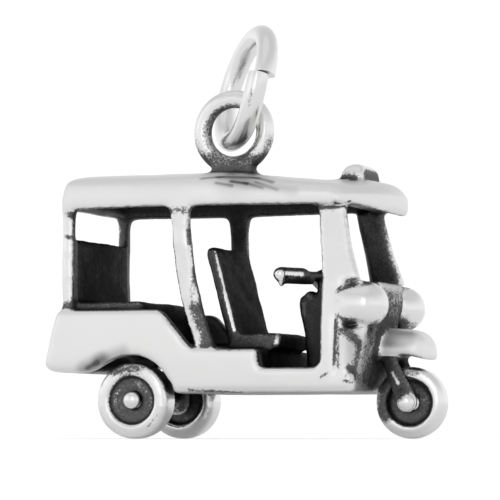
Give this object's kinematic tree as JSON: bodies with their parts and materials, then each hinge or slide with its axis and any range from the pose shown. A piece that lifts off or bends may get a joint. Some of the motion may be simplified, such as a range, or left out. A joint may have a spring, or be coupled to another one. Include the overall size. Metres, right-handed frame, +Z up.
{
  "type": "auto rickshaw charm",
  "caption": "Silver charm of a three-wheeled taxi with an open cabin, seats, handlebar and lamps; wheels turn on riveted axles and a wire ring swings in the roof loop.",
  "frame": {"origin": "on the floor under the middle of the charm's length and width", "axes": "+X forward, +Y to the charm's left, +Z up"},
  "size_m": [0.0194, 0.0092, 0.0206],
  "materials": {
    "polished_silver": "polished silver with dark oxide left in the hollows",
    "oxidised_silver": "oxidised silver, dark and mottled, rubbed bright on its edges"
  },
  "bodies": {
    "body": {"side_panel_left": "polished_silver", "side_panel_right": "polished_silver", "rear_panel": "polished_silver", "headlamp_left": "polished_silver", "headlamp_right": "polished_silver", "roof": "polished_silver", "roof_sign": "polished_silver", "rear_pillar_left": "polished_silver", "rear_pillar_right": "polished_silver", "mid_pillar_left": "polished_silver", "mid_pillar_right": "polished_silver", "front_pillar_left": "polished_silver", "front_pillar_right": "polished_silver", "handlebar": "polished_silver", "rear_axle": "polished_silver", "front_axle": "polished_silver", "mudguard": "polished_silver", "loop": "polished_silver", "floor_pan": "oxidised_silver", "nose": "oxidised_silver", "bench": "oxidised_silver", "bench_back": "oxidised_silver", "seat_box": "oxidised_silver", "driver_seat": "oxidised_silver", "steering_column": "oxidised_silver", "axle_hangers": "oxidised_silver", "fork": "oxidised_silver"},
    "rear_wheel_left": {"rear_wheel_left": "polished_silver"},
    "rear_wheel_right": {"rear_wheel_right": "polished_silver"},
    "front_wheel": {"front_wheel": "polished_silver"},
    "ring": {"ring": "polished_silver"}
  },
  "joints": [
    {"name": "rear_wheel_left_spin", "type": "hinge", "parent": "body", "child": "rear_wheel_left", "pos_m": [-0.0051, 0, 0.00187], "axis": [0, 1, 0], "continuous": true},
    {"name": "rear_wheel_right_spin", "type": "hinge", "parent": "body", "child": "rear_wheel_right", "pos_m": [-0.0051, 0, 0.00187], "axis": [0, 1, 0], "continuous": true},
    {"name": "front_wheel_spin", "type": "hinge", "parent": "body", "child": "front_wheel", "pos_m": [0.008, 0, 0.00175], "axis": [0, 1, 0], "continuous": true},
    {"name": "ring_swing", "type": "hinge", "parent": "body", "child": "ring", "pos_m": [-0.0013, 0, 0.0148], "axis": [-0.6018, 0.7986, 0], "range_deg": [-65, 55]}
  ]
}
